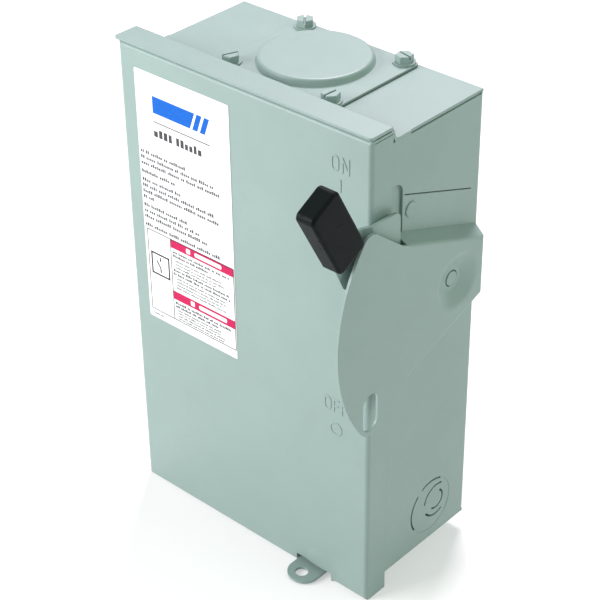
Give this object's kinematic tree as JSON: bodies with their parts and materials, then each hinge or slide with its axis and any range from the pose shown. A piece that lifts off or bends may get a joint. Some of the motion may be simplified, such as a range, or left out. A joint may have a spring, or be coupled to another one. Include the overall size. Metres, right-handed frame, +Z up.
{
  "type": "enclosed safety switch",
  "caption": "Rainproof steel disconnect box with a hinged cover, rain hood, domed hub plate and a side handle that turns a two-blade fused switch.",
  "frame": {"origin": "centre of the back face, where the box meets the wall", "axes": "+X to the right of someone facing the cover, +Y into the wall, +Z up"},
  "size_m": [0.1737, 0.1342, 0.2729],
  "materials": {
    "body_paint": "satin powder coat, light grey-green",
    "label_film": "printed polyester film",
    "card": "printed card",
    "dark_grip": "satin moulded",
    "zinc": "zinc plated",
    "spring_steel": "oiled",
    "moulding": "moulded phenolic",
    "moulding_red": "moulded phenolic",
    "copper": "tin-flashed copper",
    "lug_aluminium": "plain",
    "fuse_paper": "fibre tube",
    "clear_shield": "clear polycarbonate"
  },
  "bodies": {
    "enclosure": {"arc_barrier": "moulding", "base_screws": "zinc", "body_hinge_leaves": "zinc", "bottom_end_wall": "body_paint", "enclosure_wrap": "body_paint", "fuse_barrels": "fuse_paper", "fuse_ferrules": "copper", "ground_bar": "lug_aluminium", "ground_screws": "zinc", "guard_rivet": "body_paint", "handle_guard": "body_paint", "hasp_tab": "body_paint", "hinge_pins": "zinc", "hub_plate": "body_paint", "hub_screws": "body_paint", "line_jaws": "copper", "line_lug_screws": "zinc", "line_lugs": "lug_aluminium", "line_shield": "clear_shield", "load_lug_screws": "zinc", "load_lugs": "lug_aluminium", "lower_fuse_clips": "copper", "neutral_bar": "lug_aluminium", "neutral_insulator": "moulding", "neutral_screws": "zinc", "pivot_pin": "body_paint", "pivot_washer": "zinc", "rotor_bearings": "moulding", "switch_base": "moulding", "top_end_wall": "body_paint", "upper_fuse_clips": "copper"},
    "cover": {"front_cover": "body_paint", "cover_label": "label_film", "wiring_card": "card", "cover_hinge_leaves": "zinc"},
    "handle": {"handle_lever": "body_paint", "handle_grip": "dark_grip", "drive_shaft": "zinc", "toggle_spring": "spring_steel", "rotor_bar": "moulding_red", "knife_blades": "copper"}
  },
  "joints": [
    {"name": "cover_hinge", "type": "hinge", "parent": "enclosure", "child": "cover", "pos_m": [-0.0806, -0.0696, 0], "axis": [0, 0, -1], "range_deg": [0, 130]},
    {"name": "handle_throw", "type": "hinge", "parent": "enclosure", "child": "handle", "pos_m": [0, -0.0265, 0.0372], "axis": [1, 0, 0], "range_deg": [0, 72]}
  ]
}
